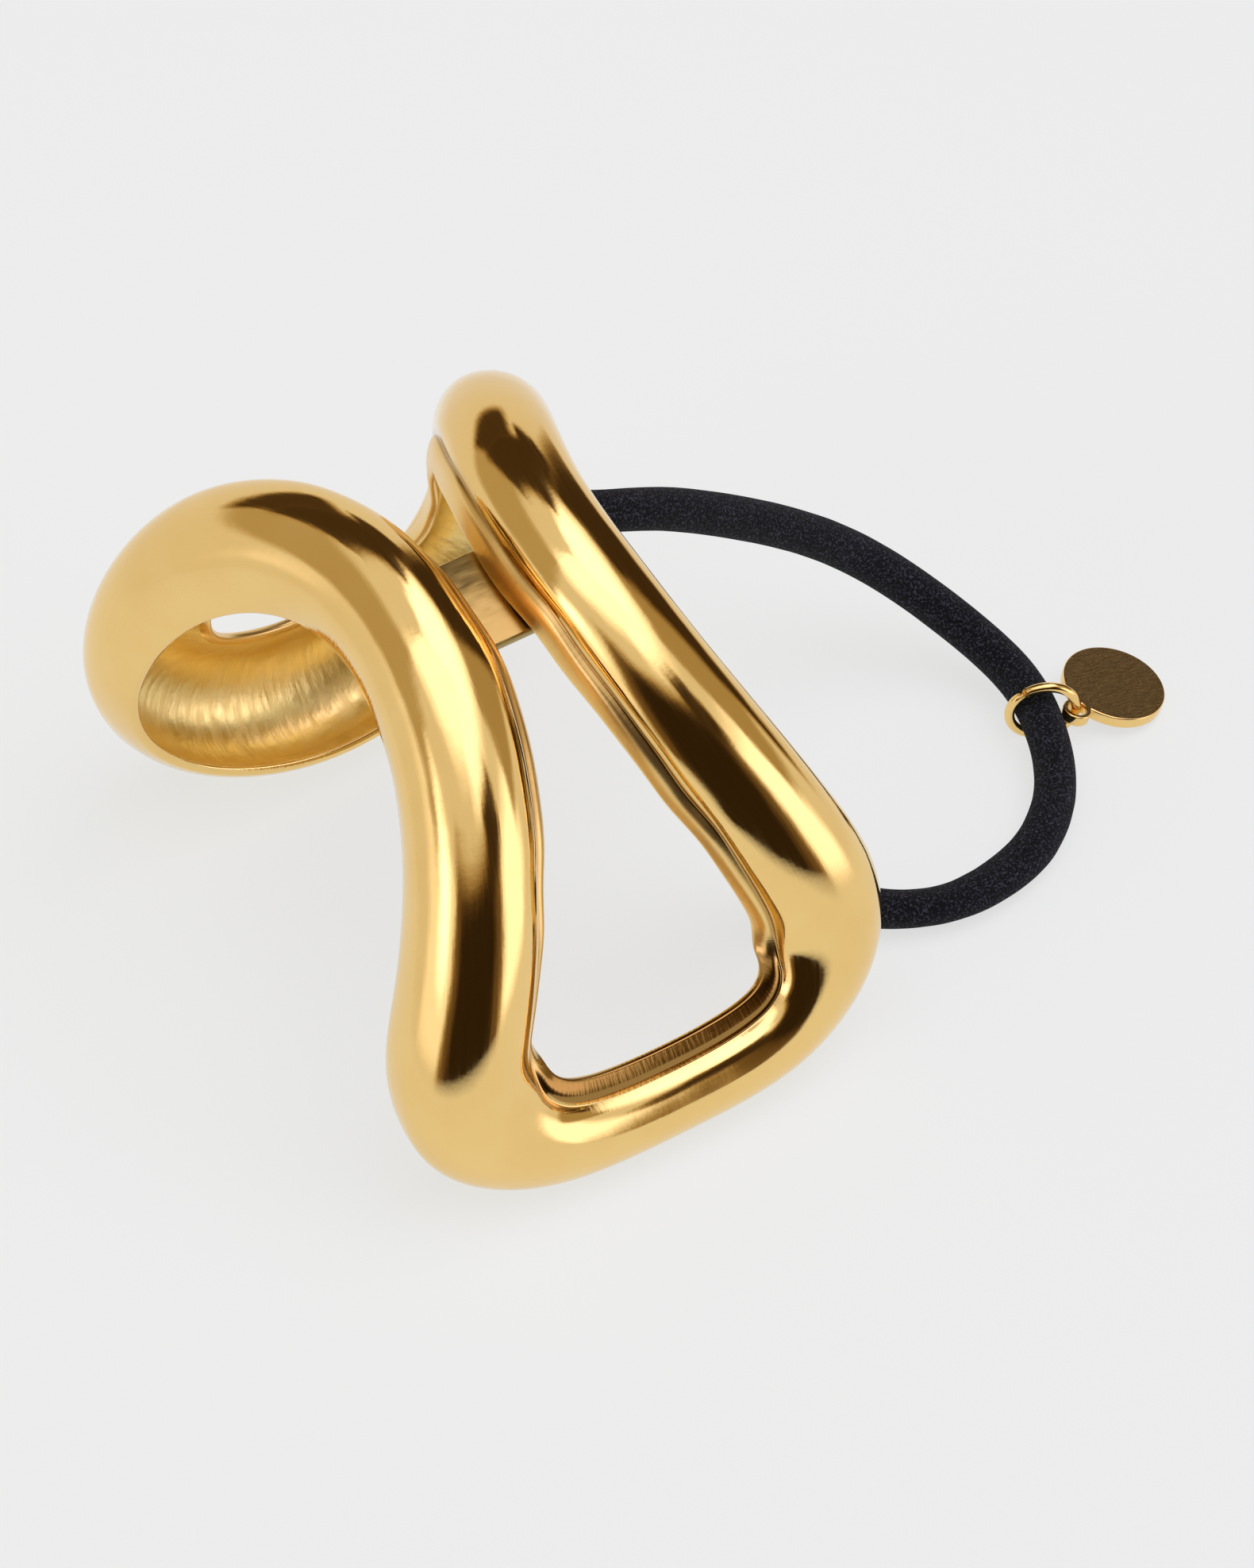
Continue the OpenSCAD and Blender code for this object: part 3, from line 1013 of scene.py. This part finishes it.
# %% Soldered plate
# Brown gold: painted shade on the plate.
PLATE_PAINTED_SHADE = (0.45, 0.330, 0.115)
PLATE_PAINTED_SHADE_DEEP = (0.34, 0.235, 0.065)
SOLDER_ROUGHNESS = 0.3


def dress_plate_gold_painted_shade():
    """Dull gold, brown with painted shade, with file marks."""
    tree, shader = fresh(plate_gold_painted_shade)
    place = place_on(tree)
    dents = placed(tree, dents_group, place, Size=2.5 * MM)
    filed = placed(tree, lines_group, place, Along=300, Around=6000)["Lines"]
    normal = bumped(tree, dents["Height"], 0.10 * MM)
    normal = bumped(tree, filed, 0.006 * MM, normal=normal)
    # The brown colour is painted shade.
    colour = two_tone(tree, dents["Tint"], PLATE_PAINTED_SHADE, PLATE_PAINTED_SHADE_DEEP)
    make_metal(plate_gold_painted_shade, tree, shader, colour, SOLDER_ROUGHNESS, normal)


dress_plate_gold_painted_shade()

# %% [markdown]
# ## Brushed tag
# The tag's face was brushed flat. Fine scratches run across it in one slanting
# direction and spread its reflection. Its colour is painted darker and browner than
# the polished edge beside it: a painted dark reflection. A Mapping node turns the
# lines on the face.

# %% Brushed tag
BRUSH_TURN = 52
BRUSH_DENSITY = (900, 12000, 900)
# Dark brown, far below gold: a painted dark reflection on the tag's face.
TAG_PAINTED_REFLECTION_DARK = (0.21, 0.135, 0.05)
TAG_PAINTED_REFLECTION_PALE = (0.44, 0.30, 0.125)
FLAT_ENOUGH = 0.95
brushed_tag_painted_reflection = bpy.data.materials.new("brushed_tag_painted_reflection")


def dress_brushed_tag_painted_reflection():
    """Gold with slanting brush lines and a painted dark reflection in its colour, for the flat
    faces.
    """
    tree, shader = fresh(brushed_tag_painted_reflection)
    turned_place = add_node(
        tree,
        "ShaderNodeMapping",
        {
            "Vector": place_on(tree),
            "Location": [-x for x in tag_place.translation],
            "Rotation": (0, 0, math.radians(BRUSH_TURN)),
            "Scale": BRUSH_DENSITY,
        },
    )
    brush = noise_on(tree, turned_place.outputs[0], 1.0, 3.0, 0.3)
    normal = bumped(tree, brush, 0.02 * MM)
    # The dark colour is a painted dark reflection; the brush noise varies it.
    colour = two_tone(tree, brush, TAG_PAINTED_REFLECTION_DARK, TAG_PAINTED_REFLECTION_PALE)
    roughness = spread_over(tree, brush, 0.18, 0.34)
    make_metal(brushed_tag_painted_reflection, tree, shader, colour, roughness, normal)


dress_brushed_tag_painted_reflection()
for finish in (brushed_tag_painted_reflection, polished_gold):
    tag_mesh.materials.append(finish)
tag_normal = (tag_place.to_3x3() @ Vector((0, 0, 1))).normalized()
for face in tag_mesh.polygons:
    face.material_index = int(abs(face.normal.dot(tag_normal)) < FLAT_ENOUGH)

# %% [markdown]
# ## Black knit
# Yarn hardly shines. Close up the sheath shows rows of small slanting stitches, a few
# pale flecks, which are painted glints, and a soft sheen at its edge. The UV map is in
# millimetres, so a stitch can be given its real size.


# %% Shader group: slanting rows of stitches
def stitch_rows():
    """Rows of V-shaped stitches from a UV map in millimetres."""
    tree, given, result = new_group(
        "stitch_rows",
        "ShaderNodeTree",
        [
            ("UV", "NodeSocketVector", None),
            ("Row", "NodeSocketFloat", 0.3),
            ("Wale", "NodeSocketFloat", 0.5),
            ("Slant", "NodeSocketFloat", 2.0),
        ],
        [("Height", "NodeSocketFloat")],
    )
    g = given.outputs
    split = add_node(tree, "ShaderNodeSeparateXYZ", {0: g["UV"]})
    wales = calc(tree, "DIVIDE", split.outputs["Y"], g["Wale"])
    rows = calc(tree, "DIVIDE", split.outputs["X"], g["Row"])
    zigzag = calc(tree, "PINGPONG", wales, 0.5)
    slanted = calc(tree, "MULTIPLY_ADD", zigzag, g["Slant"], rows)
    wave = calc(tree, "SINE", calc(tree, "MULTIPLY", slanted, 2 * math.pi))
    tree.links.new(spread_over(tree, wave, 0.0, 1.0, -1.0, 1.0), result.inputs["Height"])
    return tree


# %% Black knit
STITCH_ROW, STITCH_WALE, STITCH_SLANT = 0.32, 0.52, 2.4
YARN = (0.0050, 0.0060, 0.0092)
# Colour of the pale flecks, which are painted glints.
PAINTED_GLINT = (0.071, 0.084, 0.112)
PAINTED_GLINT_SPAN = (0.50, 0.73)


def dress_black_knit():
    """Matt black yarn with stitches, pale flecks of painted glint and a weak sheen."""
    tree, shader = fresh(black_knit)
    knit = add_node(tree, "ShaderNodeUVMap", uv_map="knit").outputs[0]
    sizes = {"Row": STITCH_ROW, "Wale": STITCH_WALE, "Slant": STITCH_SLANT}
    stitches = placed(tree, stitch_rows(), knit, **sizes)["Height"]
    fibre = noise_on(tree, place_on(tree), 4300.0, 3.0)
    # The pale flecks are painted glints; the same noise also bumps the yarn.
    painted_glint_share = spread_over(tree, fibre, 0.0, 1.0, *PAINTED_GLINT_SPAN)
    normal = bumped(tree, stitches, 0.06 * MM)
    normal = bumped(tree, fibre, 0.10 * MM, normal=normal)
    yarn = {
        "Base Color": two_tone(tree, painted_glint_share, YARN, PAINTED_GLINT),
        "Roughness": 0.92,
        "Specular IOR Level": 0.12,
        "Sheen Weight": 0.05,
        "Sheen Roughness": 0.5,
        "Normal": normal,
    }
    feed(tree, shader, yarn)
    print("black_knit with", len(tree.nodes), "nodes")


dress_black_knit()

# %% [markdown]
# ## Floor
# The cuff stands on a light table: a round plain pale sheet, lit a little from below.
# Its even glow fills in the shadows and brightens the underside. Toward its rim the
# sheet fades out, so that it melts into the plain air and no hard edge is mirrored.

# %% Floor
FLOOR_RADIUS, FADE_FROM, FLOOR_SIDES = 0.15, 0.085, 96
PAPER = (0.204, 0.235, 0.228)
GLOW = 0.67
floor_mesh = bpy.data.meshes.new("floor")
floor_rim = arc(FLOOR_RADIUS, 0, 360, FLOOR_SIDES)[:-1]
floor_mesh.from_pydata([(x, y, 0) for x, y in floor_rim], [], [list(range(FLOOR_SIDES))])
floor = new_object("floor", floor_mesh)


def dress_floor():
    """Pale glowing paper that fades out toward the rim."""
    pale_paper = bpy.data.materials.new("pale_paper")
    tree, shader = fresh(pale_paper)
    reach = add_node(tree, "ShaderNodeVectorMath", {0: place_on(tree)}, operation="LENGTH")
    paper = {
        "Base Color": (*PAPER, 1),
        "Roughness": 0.85,
        "Specular IOR Level": 0.0,
        "Emission Color": (1, 1, 1, 1),
        "Emission Strength": GLOW,
        "Alpha": spread_over(tree, reach.outputs["Value"], 1.0, 0.0, FADE_FROM, FLOOR_RADIUS),
    }
    feed(tree, shader, paper)
    floor_mesh.materials.append(pale_paper)


dress_floor()
print("floor", FLOOR_RADIUS, "m to its rim")

# %% [markdown]
# ## Studio
# Polished metal shows its surroundings more than itself. The dark bands that run down
# the limbs are dark things round the camera, and the soft white ones are lamps. All
# of that is painted on the world as soft panels, each at its own compass direction and
# height above the floor. A shader group turns a direction into a panel's mask, and each
# panel covers those before it. A colour ramp then tints the light by its strength: the
# dark things are brown, as wood is, and the lamps nearly white, the strongest a little
# rosy. Rays from the camera see plain pale air instead, so other views stay plain.


# %% Shader group: soft panel of the studio
def soft_panel():
    """Mask of a panel with soft edges; all angles are in degrees."""
    tree, given, result = new_group(
        "soft_panel",
        "ShaderNodeTree",
        [
            ("Compass", "NodeSocketFloat", 0.0),
            ("Height", "NodeSocketFloat", 0.0),
            ("Panel compass", "NodeSocketFloat", 0.0),
            ("Panel height", "NodeSocketFloat", 0.0),
            ("Half width", "NodeSocketFloat", 20.0),
            ("Half height", "NodeSocketFloat", 20.0),
            ("Softness", "NodeSocketFloat", 8.0),
        ],
        [("Mask", "NodeSocketFloat")],
    )
    g = given.outputs

    def inside(offset, half):
        """1 within half of the middle, and 0 from a softness further out."""
        off, edge = calc(tree, "ABSOLUTE", offset), calc(tree, "ADD", half, g["Softness"])
        return spread_over(tree, off, 1.0, 0.0, half, edge, "SMOOTHSTEP")

    aside = calc(tree, "SUBTRACT", g["Compass"], g["Panel compass"])
    across = inside(calc(tree, "WRAP", aside, 180.0, -180.0), g["Half width"])
    above = calc(tree, "SUBTRACT", g["Height"], g["Panel height"])
    mask = calc(tree, "MULTIPLY", across, inside(above, g["Half height"]))
    tree.links.new(mask, result.inputs["Mask"])
    return tree


# %% Panels round the object
AIR = 0.80
PLAIN_AIR = 0.84
BRIGHTEST = 3.0
TINTS = [
    # brightness, colour
    (0.0, (1.0, 0.57, 0.24)),
    (0.2, (1.0, 0.64, 0.28)),
    (0.45, (1.0, 0.78, 0.44)),
    (0.8, (1.0, 0.97, 0.94)),
    (1.4, (1.0, 0.94, 1.0)),
    (2.0, (1.0, 0.88, 1.0)),
    (3.0, (1.0, 0.80, 1.0)),
]
STUDIO = [
    # compass, height, half width, half height, softness, brightness
    [120, 72, 60, 9, 20, 2.4],
    [-150, 76, 60, 7, 16, 2.1],
    [-96, 14, 17, 12, 14, 1.2],
    [-97, 24, 3, 2, 14, 2.8],
    [137, 8, 10, 12, 16, 1.9],
    [105, 28, 14, 16, 8, 0.42],
    [-52, 40, 30, 16, 10, 0.50],
    [-162, 6, 37, 29, 13, 0.15],
    [-162, 6, 26, 25, 11, 0.03],
    [161, 39, 9, 6, 9, 0.05],
    [75, 20, 11, 21, 9, 0.05],
    [20, 51, 35, 11, 9, 0.06],
    [50, 36, 9, 8, 5, 0.06],
    [8, 29, 20, 7, 9, 0.07],
]
PANEL_SIZES = ("Panel compass", "Panel height", "Half width", "Half height", "Softness")


def light_the_world():
    """Pale air all round, with the panels on it."""
    world = bpy.data.worlds.new("studio")
    world.use_nodes = True
    tree = world.node_tree
    direction = add_node(tree, "ShaderNodeTexCoord").outputs["Generated"]
    split = add_node(tree, "ShaderNodeSeparateXYZ", {0: direction})
    turn = calc(tree, "ARCTAN2", split.outputs["X"], split.outputs["Y"])
    looked_along = {
        "Compass": calc(tree, "DEGREES", turn),
        "Height": calc(tree, "DEGREES", calc(tree, "ARCSINE", split.outputs["Z"])),
    }
    panel_tree = soft_panel()
    light = add_node(tree, "ShaderNodeValue").outputs[0]
    light.default_value = AIR
    for *sizes, brightness in STUDIO:
        values = looked_along | dict(zip(PANEL_SIZES, sizes))
        panel = add_node(tree, "ShaderNodeGroup", values, node_tree=panel_tree)
        mix_inputs = {0: panel.outputs["Mask"], 2: light, 3: brightness}
        light = add_node(tree, "ShaderNodeMix", mix_inputs).outputs[0]
    share = calc(tree, "MULTIPLY", light, 1 / BRIGHTEST)
    tint = add_node(tree, "ShaderNodeValToRGB", {0: share})
    first, last = tint.color_ramp.elements
    first.color, last.color = (*TINTS[0][1], 1), (*TINTS[-1][1], 1)
    for brightness, colour in TINTS[1:-1]:
        tint.color_ramp.elements.new(brightness / BRIGHTEST).color = (*colour, 1)
    tinted = add_node(
        tree,
        "ShaderNodeVectorMath",
        {0: tint.outputs["Color"], "Scale": light},
        operation="SCALE",
    )
    seen = add_node(tree, "ShaderNodeLightPath").outputs["Is Camera Ray"]
    plain = two_tone(tree, seen, tinted.outputs[0], (PLAIN_AIR, PLAIN_AIR, PLAIN_AIR))
    tree.links.new(plain, tree.nodes["Background"].inputs["Color"])
    scene.world = world
    scene.view_settings.view_transform = "Standard"


light_the_world()
print("studio with", len(STUDIO), "panels")
